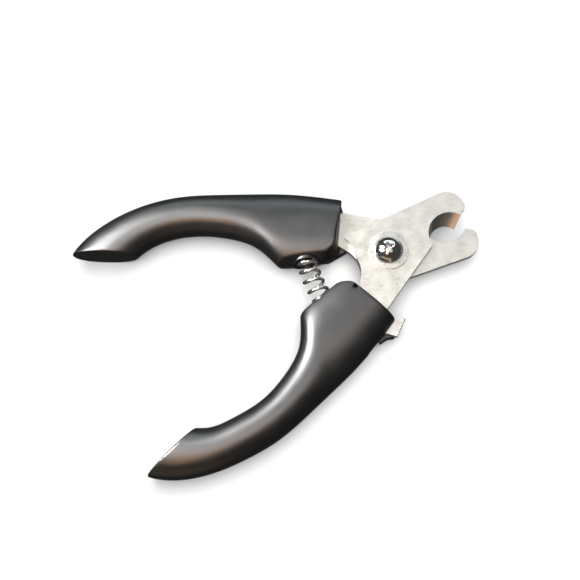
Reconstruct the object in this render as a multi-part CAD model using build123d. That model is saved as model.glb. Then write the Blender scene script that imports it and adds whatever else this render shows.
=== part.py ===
from build123d import *
import os
from math import atan2, cos, degrees, pi, radians, sin

# Scissor-action nail clipper, millimetres, shown fully open.
# Frame: +Z points up out of the screw head, the origin is on the pivot axis in the plane that the
# clipper lies on, and +X runs from the handles to the jaws along the line that mirrors them.
# The front blade runs from the lower handle (-Y) to the upper jaw and stays still; the rear blade
# runs from the upper handle (+Y) to the lower jaw and turns with it.

# ---- driving dimensions ----
HANDLE_THICKNESS = 15.0     # both handles, resting on z = 0
GRIP_ROUNDING = 6.8         # of the grip's long edges
FACE_CHAMFER = 2.2          # of the inner face that holds the spring
CORE_THICKNESS = 8.4

MATING_Z = 7.5              # plane in which the two blades slide on each other
BLADE_THICKNESS = 2.4
RUN_GAP = 0.05              # play of every sliding face and every turning bore
TANG_PINS = ((-30.0, -26.6), (-43.5, -33.0))
TANG_PIN_LENGTH = 8.0
PIN_RADIUS = 1.5

SHANK_RADIUS = 3.0          # pivot screw, M6
SHANK_END_Z = 1.0
HEAD_RADIUS = 5.55
HEAD_HEIGHT = 3.6
RING_RADIUS = 7.5           # serrated washer under the head
RING_THICKNESS = 0.8
RING_TEETH = 64
NUT_ACROSS_FLATS = 10.0
NUT_HEIGHT = 3.75
INSERT_RADIUS = 3.8
INSERT_Z = (0.8, 2.2)
WASHER_RADIUS = 6.25
WASHER_THICKNESS = 0.8

SPRING_WIRE = 1.3
SPRING_RADIUS = 3.45        # to the middle of the wire
SPRING_TURNS = 7.5
SEAT_SHARE = 0.38           # place of each spring seat along the inner face of a handle
CUP_DEPTH = 8.0
CUP_RADIUS = 5.6
CUP_WALL = 0.6
CUP_FLOOR = 0.8
RIM_WIDTH = 0.7             # of the rim around each cup's mouth
RIM_HEIGHT = 1.0
RIM_PROUD = 0.5             # how far the rim stands out of the grip

LOCK_PIVOT = (-15.1, -20.8)
LOCK_PIN_Z = (2.0, 13.0)
LOCK_THICKNESS = 2.2
LOCK_PLAY = 0.15            # under the lever, in its slot
LOCK_TEETH = 6
HUB_RADIUS = 3.0
NOSE_REACH = 8.73           # from the lock pivot to the middle of the lever's nose
NOSE_ANGLE = 88.5           # released; the lever turns 28 degrees clockwise to lock
NOSE_RADIUS = 0.9
LEAF_SIZE = (0.3, 8.4, 1.8)
LIP_BOTTOM = 1.6

# ---- heights that follow ----
HANDLE_MIDDLE_Z = HANDLE_THICKNESS / 2
REAR_BLADE_Z = MATING_Z - BLADE_THICKNESS
FRONT_BLADE_Z = MATING_Z + RUN_GAP
FRONT_FACE_Z = FRONT_BLADE_Z + BLADE_THICKNESS
HEAD_Z = FRONT_FACE_Z + RING_THICKNESS
LOCK_Z = MATING_Z - 0.1 - LOCK_THICKNESS
ON_BASE = (Align.CENTER, Align.CENTER, Align.MIN)


def polar(centre, radius, angle):
    """Plan point at an angle in degrees around a centre."""
    return (centre[0] + radius * cos(radians(angle)), centre[1] + radius * sin(radians(angle)))


def mirrored(shape):
    """The same shape on the other side of the long axis."""
    return mirror(shape, about=Plane.XZ)


def prism(outline, bottom, height):
    """A closed plan outline pulled up from the height bottom."""
    return extrude(Plane.XY.offset(bottom) * make_face(outline), amount=height, dir=(0, 0, 1))


def rod(point, radius, bottom, top):
    """Upright cylinder between two heights."""
    return Pos(point[0], point[1], bottom) * Cylinder(radius, top - bottom, align=ON_BASE)


# ---- blades ----
def blade_outline():
    """Plan of a blade with its jaw above the long axis and its tang below."""
    ear = (-13.4, 11.0)
    nose_start = (26.8, 13.4)
    nose_end = (34.0, 6.0)
    hook_corner = (32.3, 3.6)
    tang_low = (-46.0, -38.4)
    tang_high = (-47.6, -31.8)
    neck = (-12.3, 2.0)
    return Wire([
        Line(ear, (-11.4, 11.6)),
        Line((-11.4, 11.6), nose_start),
        ThreePointArc(nose_start, (32.0, 11.4), nose_end),
        ThreePointArc(nose_end, (33.6, 4.4), hook_corner),
        *Polyline(hook_corner, (26.7, -1.4), (16.6, -4.2), (-10.0, -21.0)).edges(),
        *Polyline((-10.0, -21.0), (-15.0, -25.2), tang_low).edges(),
        ThreePointArc(tang_low, (-50.6, -36.4), tang_high),
        *Polyline(tang_high, (-38.0, -25.4), (-23.0, -18.6), (-14.6, -7.0)).edges(),
        ThreePointArc((-14.6, -7.0), (-12.6, -3.0), neck),
        ThreePointArc(neck, (-12.2, 8.0), ear),
    ])


def blade_blank(bottom):
    """Stamped blade without its jaw notch: plate, pivot bore and the holes for the tang pins."""
    plate = prism(blade_outline(), bottom, BLADE_THICKNESS)
    top = bottom + BLADE_THICKNESS
    plate -= rod((0, 0), SHANK_RADIUS + RUN_GAP, bottom, top)
    for point in TANG_PINS:
        plate -= rod(point, PIN_RADIUS, bottom, top)
    return plate


def oblique_cone(low_centre, low_radius, high_centre, high_radius, bottom, top):
    """Cone frustum between two level circles that need not share an axis."""
    low = Plane.XY.offset(bottom) * Pos(*low_centre) * Circle(low_radius)
    high = Plane.XY.offset(top) * Pos(*high_centre) * Circle(high_radius)
    return loft([low, high], ruled=True)


def front_blade():
    """Cutting blade: its notch is hollow ground from the face down to the cutting edge."""
    cutting_edge = ((21.6, -4.3), 5.8)
    face_edge = ((24.4, -2.7), 8.3)
    blade = blade_blank(FRONT_BLADE_Z)
    blade -= oblique_cone(*cutting_edge, *face_edge, FRONT_BLADE_Z, FRONT_FACE_Z)
    return blade - rod(LOCK_PIVOT, PIN_RADIUS, FRONT_BLADE_Z, FRONT_FACE_Z)


def rear_blade():
    """Cradle blade: a plain round notch with a ground relief on its hidden face."""
    notch = ((24.7, 3.1), 8.45)
    relief = ((25.0, 2.9), 9.3)
    land_z = MATING_Z - 0.8
    blade = mirrored(blade_blank(REAR_BLADE_Z)) - rod(*notch, land_z, MATING_Z)
    return blade - oblique_cone(*relief, *notch, REAR_BLADE_Z, land_z)


# ---- pivot ----
def pivot_screw():
    """Domed head with a cross recess on a plain shank."""
    dome_radius = (HEAD_RADIUS**2 + HEAD_HEIGHT**2) / (2 * HEAD_HEIGHT)
    crown_z = HEAD_Z + HEAD_HEIGHT
    head = Pos(0, 0, crown_z - dome_radius) * Sphere(dome_radius)
    head &= rod((0, 0), HEAD_RADIUS + 1, HEAD_Z, crown_z)
    recess_depth = 2.2
    wing = loft([
        Plane.XY.offset(crown_z - recess_depth) * Rectangle(2.2, 0.7),
        Plane.XY.offset(crown_z) * Rectangle(5.2, 1.25),
    ], ruled=True)
    screw = head + rod((0, 0), SHANK_RADIUS, SHANK_END_Z, HEAD_Z)
    return screw - wing - Rot(0, 0, 90) * wing


def serrated_washer():
    """Flat ring with radial grooves in the rim that shows around the head."""
    ring = rod((0, 0), RING_RADIUS, FRONT_FACE_Z, HEAD_Z)
    ring -= rod((0, 0), SHANK_RADIUS + RUN_GAP, FRONT_FACE_Z, HEAD_Z)
    groove_depth = 0.35
    half_width = 0.42 * pi * RING_RADIUS / RING_TEETH
    profile = make_face(Polyline((-half_width, 0.01), (half_width, 0.01), (0, -groove_depth), close=True))
    start = Plane((HEAD_RADIUS + 0.15, 0, HEAD_Z), x_dir=(0, 1, 0), z_dir=(1, 0, 0))
    groove = extrude(start * profile, amount=RING_RADIUS - HEAD_RADIUS + 0.5)
    return ring - [Rot(0, 0, 360 * tooth / RING_TEETH) * groove for tooth in range(RING_TEETH)]


def pivot_nut():
    """Closed hexagon nut whose flat end is the face that the pivot rests on."""
    corner_radius = NUT_ACROSS_FLATS / 2 / cos(radians(30))
    bevel_z = 3.0
    body = extrude(RegularPolygon(corner_radius, 6), amount=NUT_HEIGHT)
    bevel = Cone(corner_radius - 1.1, corner_radius + 2, bevel_z, align=ON_BASE)
    body &= bevel + rod((0, 0), corner_radius + 2, bevel_z, NUT_HEIGHT)
    return body - rod((0, 0), INSERT_RADIUS, *INSERT_Z) - rod((0, 0), SHANK_RADIUS, INSERT_Z[1], NUT_HEIGHT)


def nut_insert():
    """Nylon locking ring inside the nut."""
    ring = rod((0, 0), INSERT_RADIUS, *INSERT_Z)
    return ring - rod((0, 0), SHANK_RADIUS, SHANK_END_Z, INSERT_Z[1])


def rear_washer():
    """Flat washer between the nut and the disc spring."""
    top = NUT_HEIGHT + WASHER_THICKNESS
    washer = rod((0, 0), WASHER_RADIUS, NUT_HEIGHT, top)
    return washer - rod((0, 0), SHANK_RADIUS + RUN_GAP, NUT_HEIGHT, top)


def disc_spring():
    """Conical spring washer that presses the blades together."""
    inner, outer, strip = 3.3, 5.7, 0.3
    base = NUT_HEIGHT + WASHER_THICKNESS
    crown = REAR_BLADE_Z - RUN_GAP
    section = Polyline(
        (inner, 0, crown), (inner, 0, crown - strip), (outer, 0, base), (outer, 0, base + strip), close=True
    )
    return revolve(make_face(section), axis=Axis.Z)


# ---- handles ----
FRONT_OUTER = (-8.2, 25.4)
FRONT_INNER = (-16.6, 9.4)
FACE_FRONT = (-24.0, 5.5)
FACE_BACK = (-41.0, 10.4)
ARCH_FRONT = (-41.6, 13.5)
HOOK_INNER = (-90.5, 33.9)
HOOK_TIP = (-111.6, 43.8)


def slope(start, end):
    """Direction from one plan point to another, in degrees."""
    return degrees(atan2(end[1] - start[1], end[0] - start[0]))


def rounded_edges():
    """Back, end and arch of the upper handle in plan, run on past the hook end that is cut flat."""
    back = [(-25.0, 34.9), (-48.5, 44.6), (-66.0, 50.5), (-79.0, 52.3), (-95.0, 51.0)]
    arch = [(-79.0, 36.4), (-66.0, 34.5), (-54.0, 28.7), (-45.5, 21.3)]
    run_out = (-103.0, 28.0)
    return [
        Spline(FRONT_OUTER, *back, HOOK_TIP),
        ThreePointArc(HOOK_TIP, (-114.0, 31.0), run_out),
        Spline(run_out, HOOK_INNER, *arch, ARCH_FRONT),
    ]


def face_edges():
    """Flat inner face with the spring, and the front end, in plan."""
    return [
        *Polyline(ARCH_FRONT, FACE_BACK, FACE_FRONT).edges(),
        ThreePointArc(FACE_FRONT, (-19.0, 6.2), FRONT_INNER),
        Line(FRONT_INNER, FRONT_OUTER),
    ]


def handle_bar():
    """Body of the upper handle: rounded along its back and arch, flat at the hook end."""
    rounded = rounded_edges()
    body = prism(rounded + face_edges(), 0, HANDLE_THICKNESS)
    middles = [edge.center() for edge in rounded]

    def follows_rounded(edge):
        level = edge.bounding_box().size.Z < 0.001
        return level and any(abs(edge.center().X - middle.X) < 0.3 for middle in middles)

    body = fillet(body.edges().filter_by(follows_rounded), GRIP_ROUNDING)
    beyond_hook = Box(80, 30, 40, align=(Align.CENTER, Align.MIN, Align.CENTER))
    body -= Pos(*HOOK_INNER, HANDLE_MIDDLE_Z) * Rot(0, 0, slope(HOOK_INNER, HOOK_TIP)) * beyond_hook
    bar_width = FACE_CHAMFER * 2**0.5
    for height in (0, HANDLE_THICKNESS):
        bar = Rot(45, 0, 0) * Box(60, bar_width, bar_width)
        body -= Pos(*FACE_BACK, height) * Rot(0, 0, slope(FACE_BACK, FACE_FRONT)) * bar
    return body


def front_heel():
    """Rear half of the handle's front end, which reaches a little further under the blades."""
    outline = Polyline((-20.0, 6.4), (-15.2, 6.9), (-13.4, 7.9), (-8.5, 24.8), (-20.0, 26.0), close=True)
    heel = prism(outline, 0, REAR_BLADE_Z - 0.3)
    return chamfer(heel.faces().sort_by(Axis.Z)[0].edges(), 1.6)


def core_bar():
    """Outer shape of the stiff core that the grip is moulded over."""
    back_end = (-94.2, 47.9)
    arch_end = (-93.0, 39.2)
    front_top = (-12.5, 24.1)
    arch_front = (-38.4, 14.0)
    back = [(-26.4, 32.0), (-49.6, 41.6), (-66.8, 47.4), (-79.0, 49.1)]
    arch = [(-79.0, 39.6), (-65.1, 37.6), (-52.3, 31.4), (-43.0, 23.3)]
    outline = [
        Spline(front_top, *back, back_end),
        ThreePointArc(back_end, (-98.2, 43.6), arch_end),
        Spline(arch_end, *arch, arch_front),
        *Polyline(arch_front, (-37.6, 12.6), (-24.0, 8.8), (-19.4, 10.9), front_top).edges(),
    ]
    return prism(outline, HANDLE_MIDDLE_Z - CORE_THICKNESS / 2, CORE_THICKNESS)


def tang_pins():
    """Two cross pins that hold a tang in its core, on the side of the front blade's tang."""
    bottom = HANDLE_MIDDLE_Z - TANG_PIN_LENGTH / 2
    return Compound([rod(point, PIN_RADIUS, bottom, bottom + TANG_PIN_LENGTH) for point in TANG_PINS])


# ---- return spring and its cups ----
def seat_plane():
    """Mouth of the upper cup, just proud of the inner face: its normal points into the handle."""
    lean = radians(slope(FACE_BACK, FACE_FRONT))
    into_handle = (-sin(lean), cos(lean))
    x = FACE_FRONT[0] + SEAT_SHARE * (FACE_BACK[0] - FACE_FRONT[0]) - RIM_PROUD * into_handle[0]
    y = FACE_FRONT[1] + SEAT_SHARE * (FACE_BACK[1] - FACE_FRONT[1]) - RIM_PROUD * into_handle[1]
    return Plane(origin=(x, y, MATING_Z), x_dir=(0, 0, 1), z_dir=(*into_handle, 0))


def cup_body(rim):
    """Outside of a spring cup, with or without the rim around its mouth."""
    body = Cylinder(CUP_RADIUS, CUP_DEPTH + CUP_FLOOR, align=ON_BASE)
    if rim:
        body += Cylinder(CUP_RADIUS + RIM_WIDTH, RIM_HEIGHT, align=ON_BASE)
    return seat_plane() * body


def spring_cup():
    """Cup that holds one end of the return spring in the upper handle."""
    return cup_body(rim=True) - seat_plane() * Cylinder(CUP_RADIUS - CUP_WALL, CUP_DEPTH, align=ON_BASE)


def return_spring():
    """Coil spring on the arc that leaves both cups square to their floors."""
    seat = seat_plane()
    end = seat.origin + seat.z_dir * (CUP_DEPTH - 0.1 - SPRING_WIRE / 2)
    lean = atan2(seat.z_dir.X, seat.z_dir.Y)
    arc_radius = end.Y / sin(lean)
    arc_x = end.X + arc_radius * cos(lean)
    steps = int(SPRING_TURNS * 16)
    points = []
    for step in range(steps + 1):
        share = step / steps
        swing = lean * (2 * share - 1)
        turn = 2 * pi * SPRING_TURNS * share
        reach = arc_radius - SPRING_RADIUS * cos(turn)
        height = MATING_Z + SPRING_RADIUS * sin(turn)
        points.append((arc_x - reach * cos(swing), reach * sin(swing), height))
    path = Spline(points)
    return sweep(Plane(path @ 0, z_dir=path % 0) * Circle(SPRING_WIRE / 2), path=path)


# ---- handle lock, in the lower handle ----
def lock_lever():
    """Stamped lever: hub, nose that bars the rear blade's ear, and a thumb tab with teeth."""
    nose = Pos(*polar(LOCK_PIVOT, NOSE_REACH, NOSE_ANGLE)) * Circle(NOSE_RADIUS)
    root = Pos(*LOCK_PIVOT) * Circle(1.6)
    tab_top = (-4.4, -26.4)
    tab_low = (-9.9, -31.5)
    arm_front = [(-12.2, -21.4), (-8.4, -24.0)]
    arm_back = [(-14.4, -27.8), (-16.6, -23.0)]
    tab = make_face(Polyline(*arm_front, tab_top, tab_low, *arm_back, close=True))
    plate = make_hull([nose.edge(), root.edge()]) + Pos(*LOCK_PIVOT) * Circle(HUB_RADIUS) + tab
    lever = extrude(Plane.XY.offset(LOCK_Z) * plate, amount=LOCK_THICKNESS)
    lever -= rod(LOCK_PIVOT, PIN_RADIUS + RUN_GAP, LOCK_Z, LOCK_Z + LOCK_THICKNESS)
    serrated_edge = Line(tab_top, tab_low)
    notch = Rot(0, 0, slope(tab_top, tab_low) + 45) * Box(0.75, 0.75, 3 * LOCK_THICKNESS)
    for tooth in range(LOCK_TEETH):
        place = serrated_edge @ ((tooth + 0.5) / LOCK_TEETH)
        lever -= Pos(place.X, place.Y, LOCK_Z) * notch
    return lever


def wedge(radius, start, end, bottom, height):
    """Pie-shaped cutter around the lock pivot, between two directions in degrees."""
    middle = polar(LOCK_PIVOT, radius, (start + end) / 2)
    rim = ThreePointArc(polar(LOCK_PIVOT, radius, start), middle, polar(LOCK_PIVOT, radius, end))
    return prism([Line(LOCK_PIVOT, rim @ 0), rim, Line(rim @ 1, LOCK_PIVOT)], bottom, height)


def lock_slot():
    """Room that the lever sweeps inside the lower handle, under the front blade's tang."""
    bottom = LOCK_Z - LOCK_PLAY
    height = FRONT_BLADE_Z - bottom
    hub_room = rod(LOCK_PIVOT, HUB_RADIUS + 1.6, bottom, FRONT_BLADE_Z)
    nose_room = wedge(NOSE_REACH + 1.6, 42, 108, bottom, height)
    tab_room = wedge(14.0, -124, -8, bottom, height)
    return hub_room + nose_room + tab_room


def lock_pin():
    """Pin that the lever turns on, held in the lower handle."""
    return rod(LOCK_PIVOT, PIN_RADIUS, *LOCK_PIN_Z)


def detent_leaf():
    """Thin leaf spring behind the lever's hub, with both ends held in the core."""
    x = LOCK_PIVOT[0] - HUB_RADIUS - 0.5
    return Pos(x, LOCK_PIVOT[1], LOCK_Z + LOCK_THICKNESS / 2) * Box(*LEAF_SIZE)


def thumb_lip():
    """Ledge on the lower grip, under the tab, that the thumb slides along."""
    front = [(-8.6, -24.6), (-9.4, -29.4), (-11.8, -31.0)]
    back = [(-14.0, -30.6), (-17.4, -31.4), (-17.4, -26.0)]
    return prism(Polyline(*front, *back, close=True), LIP_BOTTOM, LOCK_Z - LOCK_PLAY - LIP_BOTTOM)


# ---- assembly ----
def build():
    """Every piece of the clipper, by name."""
    front = front_blade()
    rear = rear_blade()
    pins = tang_pins()
    pin = lock_pin()
    leaf = detent_leaf()
    slot = lock_slot()
    core = core_bar()
    grip = handle_bar() + front_heel() - core
    core -= cup_body(rim=False)
    grip -= cup_body(rim=True)
    lip = thumb_lip() - mirrored(core_bar())
    return {
        "front_blade": front,
        "rear_blade": rear,
        "pivot_screw": pivot_screw(),
        "serrated_washer": serrated_washer(),
        "disc_spring": disc_spring(),
        "rear_washer": rear_washer(),
        "pivot_nut": pivot_nut(),
        "nut_insert": nut_insert(),
        "upper_core": core - rear - mirrored(pins),
        "upper_grip": grip - rear,
        "upper_tang_pins": mirrored(pins),
        "upper_spring_cup": spring_cup(),
        "lower_core": mirrored(core) - front - pins - slot - leaf - pin,
        "lower_grip": mirrored(grip) + lip - front - slot - pin,
        "lower_tang_pins": pins,
        "lower_spring_cup": mirrored(spring_cup()),
        "return_spring": return_spring(),
        "lock_lever": lock_lever(),
        "lock_pin": pin,
        "detent_leaf": leaf,
    }


os.makedirs("parts", exist_ok=True)
for name, shape in build().items():
    shape.label = name
    export_step(shape, os.path.join("parts", name + ".step"))
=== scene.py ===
from math import atan2, cos, degrees, pi, radians, sin

import bmesh
import bpy
import numpy as np
from mathutils import Matrix, Vector


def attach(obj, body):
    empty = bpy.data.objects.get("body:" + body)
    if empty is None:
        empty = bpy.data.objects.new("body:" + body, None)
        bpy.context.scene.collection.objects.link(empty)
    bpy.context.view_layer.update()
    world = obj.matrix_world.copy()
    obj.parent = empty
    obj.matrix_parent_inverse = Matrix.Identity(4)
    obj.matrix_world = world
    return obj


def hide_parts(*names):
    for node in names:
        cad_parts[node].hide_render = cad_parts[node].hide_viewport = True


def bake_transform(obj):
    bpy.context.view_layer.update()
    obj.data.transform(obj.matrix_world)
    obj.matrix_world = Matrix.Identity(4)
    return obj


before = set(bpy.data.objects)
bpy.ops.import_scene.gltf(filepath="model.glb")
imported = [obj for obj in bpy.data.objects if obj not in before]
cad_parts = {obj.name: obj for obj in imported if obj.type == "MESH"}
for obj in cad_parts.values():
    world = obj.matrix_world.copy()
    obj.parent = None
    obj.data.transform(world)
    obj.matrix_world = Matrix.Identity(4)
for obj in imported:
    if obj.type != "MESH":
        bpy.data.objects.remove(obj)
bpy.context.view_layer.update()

# Shapes are drawn in millimetres, in the CAD frame, and scaled once when a piece is finished.
# Both grips are drawn on the upper side, where y is positive, and the lower one is then mirrored.
MM = 0.001
MID_Z = 7.5
FIXED, MOVING = "fixed_side", "moving_side"

# ---------------------------------------------------------------- sizes
# Plan points that the grips, the cups and the spring share.
FACE_FRONT, FACE_BACK = (-24.0, 5.5), (-41.0, 10.4)  # ends of the flat face round the spring
FRONT_INNER, FRONT_OUTER = (-16.6, 9.4), (-8.2, 25.4)  # ends of the edge that the blade leaves by
FACE_CORNER = (-19.0, 6.2)  # on the rounded corner between the two

# Plan outlines of a grip from its front to its hook, as far as both grips agree.
OUTER = [(6, 17.0), FRONT_OUTER, (-25, 34.9), (-48.5, 44.6), (-66, 50.5), (-79, 52.3)]
INNER = [(-4, -1), (-14, 0), (-24, 1.6), (-31.0, 3.6), (-36.8, 6.4), (-40.0, 9.8), (-41.6, 13.5)]
INNER += [(-45.5, 21.3), (-54, 28.7), (-66, 34.5)]
# The place on the outer outline, counted in its points, that lies across from each inner point.
ACROSS = [0.3, 1.0, 1.6, 2.05, 2.35, 2.5, 2.62, 2.85, 3.3, 4.05, 5.1, 5.7, 6.5, 8.0]
RIBS, AROUND = 260, 96
ACROSS_BLUR = 21  # ribs to either side
OVAL_POWER, BLOCK_SQUARING = 2.2, 0.2  # the thick front block has squarer sections
BLOCK_END, BLOCK_FADE = 6.5, 5.0  # counted in inner points

# A lean is how far a cut has moved LEAN_HEIGHT past its upright band: the x and then the y of the
# face corner's start, middle and end, and the y of the face's back end.
UPRIGHT_BAND, LEAN_HEIGHT = 0.8, 5.2
NO_LEAN = ((0, 0, 0), (0, 0, 0), 0)
LEAN_BELOW = ((0, 0, 0), (1.0, 0.9, 0.6), 0.6)
GRIPS = {
    "upper": {
        "outer_end": [(-95, 51), (-111.6, 43.8), (-119, 35.5)],
        "inner_end": [(-79, 36.4), (-85.3, 35.4), (-90.3, 33.2), (-101, 24)],
        "hook_cut": ((-87.6, 34.0), (-109.0, 43.5)),
        "lean_above": ((0.2, -0.3, -0.4), (2.3, 2.1, 1.3), 1.0),
        "cup_stands_out": 0.5,
    },
    "lower": {
        "outer_end": [(-95, 52.1), (-113, 45.6), (-121, 38)],
        "inner_end": [(-79, 36.6), (-86.6, 36.6), (-91.8, 34.6), (-102.5, 25.5)],
        "hook_cut": ((-91.7, 34.7), (-113.8, 44.0)),
        "lean_above": ((0, 0, -0.2), (-0.4, 0, -0.7), 0),
        "cup_stands_out": 0.1,
    },
}
VOXEL, SOFTENING, SOFTENING_STEPS = 0.3, 0.5, 24

# The heel closes the front block under the blades, and its lower edges are bevelled.
HEEL_OUTLINE = [(-22.0, 5.7), (-14.0, 6.9), (-11.4, 7.8), (-8.5, 24.8), (-22.0, 26.0)]
HEEL_FOOT = [(-21.0, 7.3), (-14.6, 8.3), (-12.9, 9.0), (-10.6, 23.3), (-21.0, 24.4)]
HEEL_BEVEL, HEEL_TOP = 1.6, 4.8

# The lever turns in a slot in the lower grip, over a thumb lip. These are not mirrored. The slot
# is the room that the lever's nose and tab sweep, each a radius and two angles, and its hub's.
LOCK_PIVOT = (-15.1, -20.8)
NOSE_SWEEP, TAB_SWEEP, HUB_ROOM = (11.0, 37, 113), (14.4, -128, -4), 5.0
SLOT_BOTTOM, SLOT_TOP = 4.8, 7.75
LIP_OUTLINE = [(-16.6, -31.0), (-13.2, -30.2), (-10.8, -31.0), (-8.4, -29.0), (-7.8, -24.4)]
LIP_OUTLINE += [(-17.0, -24.0)]
LIP_BOTTOM, LIP_TOP = 1.6, 4.8

# Small moulded mark in the lower grip's front inner corner, drawn on the upper side.
NOTCH_BOTTOM, NOTCH_RADIUS, NOTCH_LENGTH = (-17.7, 9.2, 11.9), 0.8, 6

# The cups' mouths lie this share of the way back along the spring face, and this far out of it.
SEAT_BACK, SEAT_OUT = 0.38, 0.5
POCKET_RADIUS, POCKET_DEPTH = 5.3, 8.85
CUP_PROFILE = [(4.9, -2.0), (5.25, -1.6), (5.25, 8.5), (4.9, 8.8)]  # radius, depth
WELL_DEPTH = 8.0
WELL_PROFILE = [(4.7, -4.0), (4.7, WELL_DEPTH)]

TURNS, COIL_RADIUS, WIRE_RADIUS = 9.5, 3.45, 0.65
FLOOR_GAP = 0.1  # between the coil's end and the floor of its cup
END_CLOSING = 0.055  # how much closer the turns lie towards the ends
STEPS_PER_TURN, WIRE_SIDES = 40, 14

# Edges sharper than these angles, in degrees, are creased or broken, or split in shading.
CORNER_ANGLE, GRIP_CORNER_ANGLE, SPLIT_ANGLE = 35, 50, 19
FLAT_ANGLE = 0.5  # degrees, under which CAD faces are joined into one
SAME_POINT = 1e-6  # metres
CUP_EDGE, CUP_EDGE_STEPS, CAD_EDGE_STEPS = 0.18, 3, 4


# ---------------------------------------------------------------- mesh helpers
def mesh_object(name, vertices, faces):
    mesh = bpy.data.meshes.new(name)
    mesh.from_pydata([tuple(v) for v in vertices], [], faces)
    mesh.update()
    obj = bpy.data.objects.new(name, mesh)
    bpy.context.scene.collection.objects.link(obj)
    return obj


def tube(name, rings):
    """Closed skin over rings of points, which run anticlockwise as seen from the last ring's end."""
    n = len(rings[0])
    last = (len(rings) - 1) * n
    faces = [tuple(range(n - 1, -1, -1)), tuple(range(last, last + n))]
    for a in range(0, last, n):
        faces += [(a + k, a + (k + 1) % n, a + n + (k + 1) % n, a + n + k) for k in range(n)]
    return mesh_object(name, sum(rings, []), faces)


def prism(name, outline, bottom, top):
    """Closed prism over a plan outline that runs anticlockwise."""
    return tube(name, [[(x, y, z) for x, y in outline] for z in (bottom, top)])


def lathe(name, profile, origin, axis, segments=96):
    """Surface of revolution through (radius, height) points, its two ends closed by flat discs."""
    axis = Vector(axis).normalized()
    side = axis.orthogonal().normalized()
    other = axis.cross(side)
    turns = [2 * pi * k / segments for k in range(segments)]
    return tube(name, [
        [Vector(origin) + (side * cos(turn) + other * sin(turn)) * r + axis * h for turn in turns]
        for r, h in profile
    ])


def rod(name, origin, axis, radius, length):
    return lathe(name, [(radius, 0), (radius, length)], origin, axis)


def turn_outwards(obj):
    bm = bmesh.new()
    bm.from_mesh(obj.data)
    bmesh.ops.recalc_face_normals(bm, faces=bm.faces)
    bm.to_mesh(obj.data)
    bm.free()
    return obj


def bake_modifiers(obj):
    bpy.context.view_layer.update()
    mesh = bpy.data.meshes.new_from_object(obj.evaluated_get(bpy.context.evaluated_depsgraph_get()))
    obj.modifiers.clear()
    obj.data = mesh
    return obj


def combine(obj, other, operation="DIFFERENCE"):
    """Boolean of two closed meshes, which uses up the second."""
    modifier = obj.modifiers.new("combine", "BOOLEAN")
    modifier.object = other
    modifier.operation = operation
    modifier.solver = "EXACT"
    bake_modifiers(obj)
    bpy.data.objects.remove(other)
    return obj


def join(obj, *others):
    """Several closed shells in one mesh."""
    bm = bmesh.new()
    for o in (obj, *others):
        bm.from_mesh(o.data)
    bm.to_mesh(obj.data)
    bm.free()
    for o in others:
        bpy.data.objects.remove(o)
    return obj


def flip(obj):
    """Mirror image on the other side of the long axis, with its faces still outwards."""
    obj.data.transform(Matrix.Diagonal((1, -1, 1, 1)))
    obj.data.flip_normals()
    return obj


def break_edges(obj, width, segments):
    """Rounds the corners a little, by a modifier."""
    bevel = obj.modifiers.new("edges", "BEVEL")
    bevel.width = width
    bevel.segments = segments
    bevel.limit_method = "ANGLE"
    bevel.angle_limit = radians(CORNER_ANGLE)


def shade_smooth(obj):
    obj.data.polygons.foreach_set("use_smooth", [True] * len(obj.data.polygons))


# ---------------------------------------------------------------- plan helpers
def polar(centre, radius, angle):
    return (centre[0] + radius * cos(radians(angle)), centre[1] + radius * sin(radians(angle)))


def circle(centre, radius, count):
    return [polar(centre, radius, 360 * k / count) for k in range(count)]


def sector(radius, start, end, count=24):
    """Plan outline of a pie slice around the lock pivot, between two angles."""
    rim = [polar(LOCK_PIVOT, radius, start + (end - start) * k / count) for k in range(count + 1)]
    return [LOCK_PIVOT] + rim


def beyond(start, end, length):
    """A point past end on the line from start."""
    s, e = Vector(start), Vector(end)
    return tuple(e + (e - s).normalized() * length)


def arc(start, middle, end, count):
    """Points of the circle arc through three plan points, ends included."""
    (ax, ay), (bx, by), (cx, cy) = start, middle, end
    d = 2 * (ax * (by - cy) + bx * (cy - ay) + cx * (ay - by))
    aa, bb, cc = ax**2 + ay**2, bx**2 + by**2, cx**2 + cy**2
    ux = (aa * (by - cy) + bb * (cy - ay) + cc * (ay - by)) / d
    uy = (aa * (cx - bx) + bb * (ax - cx) + cc * (bx - ax)) / d
    radius = ((ax - ux) ** 2 + (ay - uy) ** 2) ** 0.5
    first = degrees(atan2(ay - uy, ax - ux))
    through = (degrees(atan2(by - uy, bx - ux)) - first) % 360
    last = (degrees(atan2(cy - uy, cx - ux)) - first) % 360
    if through > last:
        last -= 360
    return [polar((ux, uy), radius, first + last * k / count) for k in range(count + 1)]


def spline(points, where):
    """Natural cubic through plan points, read at fractional point numbers. t is each point's chord
    length along the row, and m the curve's second derivative there."""
    p = np.array(points, float)
    t = np.concatenate([[0], np.cumsum(np.linalg.norm(np.diff(p, axis=0), axis=1))])
    n, h = len(t), np.diff(t)
    a, r = np.eye(n), np.zeros((n, 2))
    for i in range(1, n - 1):
        a[i, i - 1 : i + 2] = h[i - 1], 2 * (h[i - 1] + h[i]), h[i]
        r[i] = 6 * ((p[i + 1] - p[i]) / h[i] - (p[i] - p[i - 1]) / h[i - 1])
    m = np.linalg.solve(a, r)
    x = np.interp(where, np.arange(n), t)
    k = np.clip(np.searchsorted(t, x, side="right") - 1, 0, n - 2)
    u, v, w = (x - t[k])[:, None], (t[k + 1] - x)[:, None], h[k][:, None]
    near = (p[k] / w - m[k] * w / 6) * v + (p[k + 1] / w - m[k + 1] * w / 6) * u
    return (m[k] * v**3 + m[k + 1] * u**3) / (6 * w) + near


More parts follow.
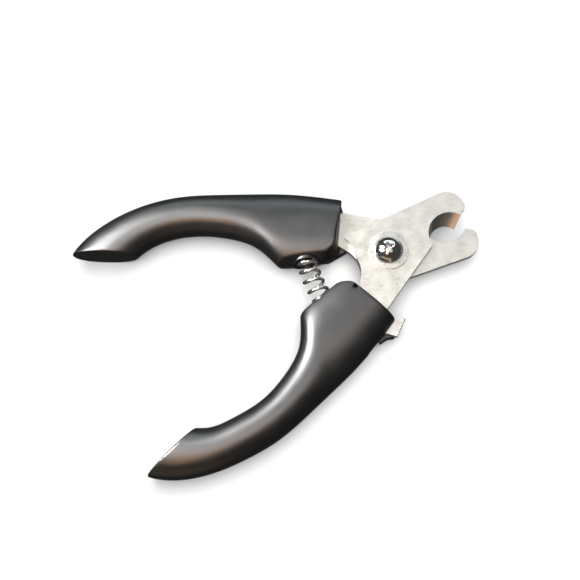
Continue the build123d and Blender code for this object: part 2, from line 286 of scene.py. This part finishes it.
def blurred(values, width):
    """Running mean under a soft window, with the row carried on past both of its ends."""
    before, after = values[width:0:-1], values[-2 : -width - 2 : -1]
    padded = np.concatenate([2 * values[0] - before, values, 2 * values[-1] - after])
    kernel = np.hanning(2 * width + 1)
    return np.convolve(padded, kernel / kernel.sum(), "valid")


# ---------------------------------------------------------------- grips
def horn(side):
    """A grip before its flats are cut: a tapering horn with oval sections, run on past every cut."""
    outer = OUTER + GRIPS[side]["outer_end"]
    inner = INNER + GRIPS[side]["inner_end"]
    at = np.linspace(0, len(inner) - 1, RIBS)
    across = blurred(np.interp(at, np.arange(len(inner)), ACROSS), ACROSS_BLUR)
    near, far = spline(inner, at), spline(outer, np.clip(across, 0, len(outer) - 1))
    rings = []
    for k in range(RIBS):
        centre, half = (near[k] + far[k]) / 2, (far[k] - near[k]) / 2
        block = np.clip((BLOCK_END - at[k]) / BLOCK_FADE, 0, 1)
        power = OVAL_POWER + BLOCK_SQUARING * block * block * (3 - 2 * block)
        ring = []
        for j in range(AROUND):
            turn = 2 * pi * j / AROUND
            c, s = cos(turn), sin(turn)
            reach = (abs(c) ** power + abs(s) ** power) ** (-1 / power)
            x, y = centre + half * reach * c
            ring.append((x, y, MID_Z + MID_Z * reach * s))
        rings.append(ring)
    return turn_outwards(tube("horn", rings))


def kept_space(side):
    """What the horn is cut to: hook end, spring face, rounded front corner and front end.
    Above the middle the upper grip's spring face leans back into the handle, and the lower one's
    leans out a little. Below the middle both lean back. Elsewhere the outline stays well outside
    the horn, and its lines run on past it."""
    steps = 12
    corner = arc(FACE_FRONT, FACE_CORNER, FRONT_INNER, steps)
    hook_inner, hook_tip = GRIPS[side]["hook_cut"]

    def outline(lean):
        lean_x, lean_y, back = lean
        places, known = range(steps + 1), (0, steps // 2, steps)
        shift = zip(np.interp(places, known, lean_x), np.interp(places, known, lean_y))
        x, y = beyond(FACE_FRONT, FACE_BACK, 4)
        points = [beyond(hook_inner, hook_tip, 14), beyond(hook_tip, hook_inner, 13)]
        points += [(-62, 18), (x, y + back)]
        points += [(x + dx, y + dy) for (x, y), (dx, dy) in zip(corner, shift)]
        return points + [beyond(FRONT_INNER, FRONT_OUTER, 6), (0, 62), (-128, 62)]

    past = 12.0
    flat = outline(NO_LEAN)
    below, above = outline(LEAN_BELOW), outline(GRIPS[side]["lean_above"])
    levels = ((-past, below), (-UPRIGHT_BAND, flat), (UPRIGHT_BAND, flat), (past, above))
    rings = []
    for rise, leant in levels:
        share = (abs(rise) - UPRIGHT_BAND) / LEAN_HEIGHT
        rings.append([
            (x + (u - x) * share, y + (v - y) * share, MID_Z + rise)
            for (x, y), (u, v) in zip(flat, leant)
        ])
    return tube("kept", rings)


def seat():
    """Mouth of the upper spring cup and the direction into the handle."""
    back, front = Vector(FACE_BACK), Vector(FACE_FRONT)
    along = (front - back).normalized()
    into = Vector((-along.y, along.x))
    point = front + (back - front) * SEAT_BACK - into * SEAT_OUT
    return Vector((point.x, point.y, MID_Z)), Vector((into.x, into.y, 0))


def heel():
    levels = ((HEEL_FOOT, 0.0), (HEEL_OUTLINE, HEEL_BEVEL), (HEEL_OUTLINE, HEEL_TOP))
    return tube("heel", [[(x, y, z) for x, y in outline] for outline, z in levels])


def grip(name, side):
    body = combine(horn(side), kept_space(side), "INTERSECT")
    mouth, into = seat()
    body = combine(body, rod("pocket", mouth, into, POCKET_RADIUS, POCKET_DEPTH))
    if side == "lower":
        body = combine(body, rod("notch", NOTCH_BOTTOM, (0, 0, 1), NOTCH_RADIUS, NOTCH_LENGTH))
        flip(body)
        for room in (sector(*NOSE_SWEEP), sector(*TAB_SWEEP), circle(LOCK_PIVOT, HUB_ROOM, 48)):
            body = combine(body, prism("slot", room, SLOT_BOTTOM, SLOT_TOP))
        body = join(body, flip(heel()), prism("lip", LIP_OUTLINE, LIP_BOTTOM, LIP_TOP))
    else:
        body = join(body, heel())
    body.name = body.data.name = name
    remesh = body.modifiers.new("mould", "REMESH")
    remesh.mode = "VOXEL"
    remesh.voxel_size = VOXEL
    soften = body.modifiers.new("soften", "SMOOTH")
    soften.factor = SOFTENING
    soften.iterations = SOFTENING_STEPS
    return bake_modifiers(body)


def spring_cup(name, side):
    """Moulded cup for one end of the spring, its mouth trimmed to follow the spring face."""
    mouth, into = seat()
    cup = lathe(name, CUP_PROFILE, mouth, into)
    cup = combine(cup, lathe("well", WELL_PROFILE, mouth, into))
    space = kept_space(side)
    space.data.transform(Matrix.Translation(into * -GRIPS[side]["cup_stands_out"]))
    cup = combine(combine(cup, space, "INTERSECT"), horn(side), "INTERSECT")
    break_edges(cup, CUP_EDGE, CUP_EDGE_STEPS)
    bake_modifiers(cup)
    return flip(cup) if side == "lower" else cup


# ---------------------------------------------------------------- return spring
def return_spring():
    """Coil on the arc that leaves both cups square to their floors, with closed end turns. swing is
    the place along the arc, and turn the angle around it."""
    mouth, into = seat()
    end = mouth + into * (WELL_DEPTH - FLOOR_GAP - WIRE_RADIUS)
    lean = atan2(into.x, into.y)
    arc_radius = end.y / sin(lean)
    arc_x = end.x + arc_radius * cos(lean)
    steps = int(TURNS * STEPS_PER_TURN)
    centres, outs = [], []
    for step in range(steps + 1):
        t = step / steps
        share = t - END_CLOSING * sin(2 * pi * t)
        swing = lean * (2 * share - 1)
        turn = 2 * pi * TURNS * (t - 0.5) + pi / 2
        reach = arc_radius - COIL_RADIUS * cos(turn)
        x, y, rise = arc_x - reach * cos(swing), reach * sin(swing), COIL_RADIUS * sin(turn)
        centres.append(Vector((x, y, MID_Z + rise)))
        outs.append(Vector((cos(turn) * cos(swing), -cos(turn) * sin(swing), sin(turn))))
    rings = []
    for k, centre in enumerate(centres):
        ahead = (centres[min(k + 1, steps)] - centres[max(k - 1, 0)]).normalized()
        out = (outs[k] - ahead * outs[k].dot(ahead)).normalized()
        other = ahead.cross(out)
        angles = [2 * pi * j / WIRE_SIDES for j in range(WIRE_SIDES)]
        rings.append([centre + (out * cos(a) + other * sin(a)) * WIRE_RADIUS for a in angles])
    return tube("coil_spring", rings)


# ---------------------------------------------------------------- materials
class Graph:
    """Short names for building one material's nodes."""

    def __init__(self, name):
        self.material = bpy.data.materials.new(name)
        self.material.use_nodes = True
        self.nodes = self.material.node_tree.nodes
        self.links = self.material.node_tree.links
        self.surface = next(n for n in self.nodes if n.type == "BSDF_PRINCIPLED")
        self.place = self.nodes.new("ShaderNodeTexCoord").outputs["Object"]

    def feed(self, socket, value):
        """Sets a socket to a number or a colour, or links it to another node's output."""
        if isinstance(value, tuple):
            socket.default_value = (*value, 1)
        elif isinstance(value, (int, float)):
            socket.default_value = value
        else:
            self.links.new(value, socket)

    def noise(self, scale, detail=3.0, stretch=(1, 1, 1), roughness=0.55):
        """Noise with features about 1/scale metres across, squeezed by stretch along each axis."""
        mapping = self.nodes.new("ShaderNodeMapping")
        mapping.inputs["Scale"].default_value = stretch
        self.links.new(self.place, mapping.inputs["Vector"])
        node = self.nodes.new("ShaderNodeTexNoise")
        node.inputs["Scale"].default_value = scale
        node.inputs["Detail"].default_value = detail
        node.inputs["Roughness"].default_value = roughness
        self.links.new(mapping.outputs[0], node.inputs["Vector"])
        return node.outputs["Fac"]

    def flatness(self):
        """How squarely the surface faces up or down, 0 to 1."""
        split = self.nodes.new("ShaderNodeSeparateXYZ")
        self.links.new(self.nodes.new("ShaderNodeNewGeometry").outputs["Normal"], split.inputs[0])
        return self.combined("ABSOLUTE", split.outputs[2], 0)

    def ramp(self, value, low, high, start=0.3, end=0.7):
        """Maps start to end of a value onto low to high. Noise seldom leaves 0.3 to 0.7."""
        node = self.nodes.new("ShaderNodeMapRange")
        node.inputs["From Min"].default_value = start
        node.inputs["From Max"].default_value = end
        node.inputs["To Min"].default_value = low
        node.inputs["To Max"].default_value = high
        self.links.new(value, node.inputs["Value"])
        return node.outputs[0]

    def combined(self, operation, a, b):
        node = self.nodes.new("ShaderNodeMath")
        node.operation = operation
        self.feed(node.inputs[0], a)
        self.feed(node.inputs[1], b)
        return node.outputs[0]

    def sum(self, a, b):
        return self.combined("ADD", a, b)

    def times(self, a, b):
        return self.combined("MULTIPLY", a, b)

    def colour(self, value, first, second):
        node = self.nodes.new("ShaderNodeMix")
        node.data_type = "RGBA"
        self.feed(node.inputs[6], first)
        self.feed(node.inputs[7], second)
        self.links.new(value, node.inputs[0])
        return node.outputs[2]

    def bump(self, height, depth):
        """Relief of the given depth in metres."""
        node = self.nodes.new("ShaderNodeBump")
        node.inputs["Strength"].default_value = 1.0
        node.inputs["Distance"].default_value = depth
        self.links.new(height, node.inputs["Height"])
        self.links.new(node.outputs[0], self.surface.inputs["Normal"])

    def surface_from(self, **values):
        for name, value in values.items():
            self.feed(self.surface.inputs[name.replace("_", " ")], value)
        return self.material


DUST, DUST_COVER, DUST_ROUGHNESS = (0.06, 0.057, 0.053), 0.25, 0.12
MOULDED_IOR, MOULDED_SPECULAR = 1.55, 0.68
# Where the painted shade on a ground edge's sloping facet begins and ends, by how squarely it faces
# up or down.
FACET_FROM_FLAT, FACET_TO_WALL = (0.975, 0.94), (0.5, 0.75)


def moulded(name, dark, light, roughness, relief):
    """Satin moulding: fine grain and faint lines along the tool, cloudy gloss and dusty scuffs.
    relief is the depth of its grain in metres."""
    g = Graph(name)
    clouds = g.ramp(g.noise(90, 4), 0, 1)
    dust = g.ramp(g.noise(420, 6, roughness=0.7), 0, 1, 0.66, 0.80)
    tone = g.colour(clouds, dark, light)
    tone = g.colour(g.times(dust, DUST_COVER), tone, DUST)
    gloss = g.sum(g.ramp(g.noise(160, 5), *roughness), g.times(dust, DUST_ROUGHNESS))
    lines = g.noise(1.0, 3, (350, 2600, 2600))
    grain, pores = g.times(g.noise(4200, 2), 0.6), g.times(g.noise(900, 2), 0.5)
    g.bump(g.sum(grain, g.sum(lines, pores)), relief)
    g.surface.inputs["IOR"].default_value = MOULDED_IOR
    g.surface.inputs["Specular IOR Level"].default_value = MOULDED_SPECULAR
    return g.surface_from(Base_Color=tone, Roughness=gloss)


def metal(name, dark, light, roughness, brush, relief, metallic=1.0, painted_facet_shade=None):
    """Bare metal with brush marks, and cloudy patches in its colour and gloss.
    Sloping facets may be darkened to a colour of their own: painted shade that stands in for the
    shade on ground edges' slopes."""
    g = Graph(name)
    marks = g.noise(1.0, 2, brush)
    clouds = g.noise(210, 3)
    tone = g.colour(g.ramp(g.sum(g.times(marks, 0.4), g.times(clouds, 0.6)), 0, 1), dark, light)
    gloss = g.sum(g.ramp(clouds, *roughness), g.ramp(marks, -0.03, 0.03))
    if painted_facet_shade:
        flatness = g.flatness()
        not_flat = g.ramp(flatness, 0, 1, *FACET_FROM_FLAT)
        not_wall = g.ramp(flatness, 0, 1, *FACET_TO_WALL)
        # Painted shade: facets between flat and upright are mixed towards the darker shade colour.
        tone = g.colour(g.times(not_flat, not_wall), tone, painted_facet_shade)
    g.bump(marks, relief)
    g.surface.inputs["Metallic"].default_value = metallic
    return g.surface_from(Base_Color=tone, Roughness=gloss)


MOULDINGS = {
    "grip_black": {
        "dark": (0.0028, 0.0028, 0.0032), "light": (0.0055, 0.0052, 0.0048),
        "roughness": (0.33, 0.41), "relief": 0.000013,
    },
    "cup_black": {
        "dark": (0.006, 0.006, 0.006), "light": (0.013, 0.012, 0.012),
        "roughness": (0.26, 0.36), "relief": 0.000008,
    },
    "core_plastic": {
        "dark": (0.03, 0.03, 0.032), "light": (0.05, 0.05, 0.052),
        "roughness": (0.45, 0.55), "relief": 0.00002,
    },
    "nylon": {
        "dark": (0.55, 0.60, 0.68), "light": (0.66, 0.70, 0.76),
        "roughness": (0.42, 0.52), "relief": 0.00001,
    },
}
METALS = {
    "blade_steel": {
        # The darkest colour here is painted shade for the blade's sloping ground facets, not a
        # colour of the steel.
        "dark": (0.47, 0.458, 0.42), "light": (0.60, 0.588, 0.545), "painted_facet_shade": (0.15, 0.143, 0.128),
        "roughness": (0.28, 0.36), "brush": (500, 900, 700), "relief": 0.0000004, "metallic": 0.8,
    },
    "polished_chrome": {
        "dark": (0.70, 0.69, 0.67), "light": (0.80, 0.79, 0.77),
        "roughness": (0.09, 0.16), "brush": (900, 900, 900), "relief": 0.000001,
    },
    "bright_steel": {
        "dark": (0.62, 0.61, 0.58), "light": (0.74, 0.73, 0.70),
        "roughness": (0.20, 0.30), "brush": (1500, 1500, 1500), "relief": 0.000003, "metallic": 0.85,
    },
    "spring_steel": {
        "dark": (0.62, 0.61, 0.58), "light": (0.76, 0.75, 0.72),
        "roughness": (0.13, 0.22), "brush": (1400, 1400, 1400), "relief": 0.000002, "metallic": 0.93,
    },
}
MATERIALS = {name: moulded(name, **look) for name, look in MOULDINGS.items()}
MATERIALS.update({name: metal(name, **look) for name, look in METALS.items()})


# ---------------------------------------------------------------- pieces
def finish(obj, material, node, body=None, sharp_angle=CORNER_ANGLE):
    """Scales a piece to metres, shades it, and lets it stand for its CAD node."""
    obj.data.transform(Matrix.Scale(MM, 4))
    shade_smooth(obj)
    obj.data.set_sharp_from_angle(angle=radians(sharp_angle))
    obj.data.materials.clear()
    obj.data.materials.append(MATERIALS[material])
    if body:
        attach(obj, body)
    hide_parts(node)
    return obj


finish(grip("upper_grip_shell", "upper"), "grip_black", "upper_grip", MOVING, GRIP_CORNER_ANGLE)
finish(grip("lower_grip_shell", "lower"), "grip_black", "lower_grip", FIXED, GRIP_CORNER_ANGLE)
finish(spring_cup("upper_cup", "upper"), "cup_black", "upper_spring_cup", MOVING)
finish(spring_cup("lower_cup", "lower"), "cup_black", "lower_spring_cup", FIXED)

coil = finish(return_spring(), "spring_steel", "return_spring")
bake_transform(coil)


def dress(node, material, edge):
    """A CAD node as it is, with its stamped or turned edges slightly broken and its own material."""
    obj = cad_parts[node]
    weld = obj.modifiers.new("weld", "WELD")
    weld.merge_threshold = SAME_POINT
    flats = obj.modifiers.new("flats", "DECIMATE")
    flats.decimate_type = "DISSOLVE"
    flats.angle_limit = radians(FLAT_ANGLE)
    if edge:
        break_edges(obj, edge * MM, CAD_EDGE_STEPS)
    split = obj.modifiers.new("split", "EDGE_SPLIT")
    split.split_angle = radians(SPLIT_ANGLE)
    obj.modifiers.new("normals", "WEIGHTED_NORMAL")
    shade_smooth(obj)
    if not obj.material_slots:
        obj.data.materials.append(None)
    for held in obj.material_slots:
        held.link = "OBJECT"
        held.material = MATERIALS[material]


DRESSED = {  # node: material, and the width of its broken edges
    "front_blade": ("blade_steel", 0.12),
    "rear_blade": ("blade_steel", 0.12),
    "pivot_screw": ("polished_chrome", 0.08),
    "serrated_washer": ("bright_steel", 0.03),
    "disc_spring": ("spring_steel", 0),
    "rear_washer": ("bright_steel", 0.1),
    "pivot_nut": ("bright_steel", 0.15),
    "nut_insert": ("nylon", 0),
    "upper_core": ("core_plastic", 0),
    "lower_core": ("core_plastic", 0),
    "upper_tang_pins": ("spring_steel", 0.1),
    "lower_tang_pins": ("spring_steel", 0.1),
    "lock_lever": ("blade_steel", 0.12),
    "lock_pin": ("spring_steel", 0.1),
    "detent_leaf": ("spring_steel", 0),
}
for node, (material, edge) in DRESSED.items():
    dress(node, material, edge)


# ---------------------------------------------------------------- floor, light, camera, in metres
FLOOR_REACH, FLOOR_DROP = 3, 0.00002  # the drop keeps the floor's face off the object's
TARGET = Vector((-0.0400, 0.0005, 0.0075))  # the middle of the picture
RIGHT = Vector((0.9233, -0.3840, 0)).normalized()
BACK = Vector((-0.1058, -0.2545, 0.9613)).normalized()  # from the target to the camera
UP = BACK.cross(RIGHT)
CAMERA_DISTANCE, LENS, SENSOR = 0.497, 82.2, 36
WORLD_COLOUR, WORLD_STRENGTH = (0.95, 0.98, 1.0, 1), 0.06
COOL, AMBER, CREAM = (0.82, 0.96, 1.0), (1.0, 0.54, 0.25), (1.0, 0.72, 0.45)


def floor():
    g = Graph("floor")
    tone = g.colour(g.ramp(g.noise(6, 2), 0, 1), (0.86, 0.86, 0.855), (0.88, 0.88, 0.875))
    g.surface_from(Base_Color=tone, Roughness=0.9)
    g.surface.inputs["Specular IOR Level"].default_value = 0.1
    r = FLOOR_REACH
    obj = mesh_object("floor", [(-r, -r, 0), (r, -r, 0), (r, r, 0), (-r, r, 0)], [(0, 1, 2, 3)])
    obj.location.z = -FLOOR_DROP
    obj.visible_glossy = False
    obj.data.materials.append(g.material)


def lamp(name, direction, distance, size, power, colour=(1, 1, 1), gloss=True, diffuse=True):
    """Soft box that faces the object. direction is (right, up, towards camera) in the picture."""
    data = bpy.data.lights.new(name, "AREA")
    data.shape = "RECTANGLE"
    data.size, data.size_y = size
    data.energy = power
    data.color = colour
    obj = bpy.data.objects.new(name, data)
    bpy.context.scene.collection.objects.link(obj)
    way = (RIGHT * direction[0] + UP * direction[1] + BACK * direction[2]).normalized()
    obj.location = TARGET + way * distance
    obj.rotation_mode = "QUATERNION"
    obj.rotation_quaternion = way.to_track_quat("Z", "Y")
    obj.visible_diffuse = diffuse
    obj.visible_glossy = gloss


def light():
    """One broad lamp lights the scene, and the others draw the reflections."""
    world = bpy.data.worlds.new("world")
    world.use_nodes = True
    background = world.node_tree.nodes["Background"]
    background.inputs["Color"].default_value = WORLD_COLOUR
    background.inputs["Strength"].default_value = WORLD_STRENGTH
    bpy.context.scene.world = world
    lamp("fill", (0.0, 0.28, 0.96), 1.0, (1.7, 1.7), 24.0, gloss=False)
    lamp("key", (-0.651, 0.391, 0.651), 0.307, (0.17, 0.17), 4.4, diffuse=False)
    lamp("blades", (0.13, 0.66, 0.83), 0.667, (0.40, 0.27), 0.37)
    lamp("back", (0.3, 2.2, 0.6), 0.8, (0.9, 0.3), 2.2, COOL)
    lamp("ceiling", (0.0, 0.27, 1.0), 0.6, (0.30, 0.12), 0.9, diffuse=False)
    lamp("warm", (-0.115, -0.06, 0.986), 0.608, (0.12, 0.32), 1.0, AMBER, diffuse=False)
    lamp("warm_low", (-0.25, -0.9, 0.35), 0.6, (0.8, 0.5), 0.5, CREAM, diffuse=False)


def camera():
    data = bpy.data.cameras.new("camera")
    data.sensor_width = SENSOR
    data.lens = LENS
    data.clip_start = 0.01
    obj = bpy.data.objects.new("camera", data)
    bpy.context.scene.collection.objects.link(obj)
    turn = Matrix((RIGHT, UP, BACK)).transposed().to_4x4()
    obj.matrix_world = Matrix.Translation(TARGET + BACK * CAMERA_DISTANCE) @ turn
    bpy.context.scene.camera = obj


floor()
light()
camera()
bpy.context.scene.view_settings.view_transform = "Standard"
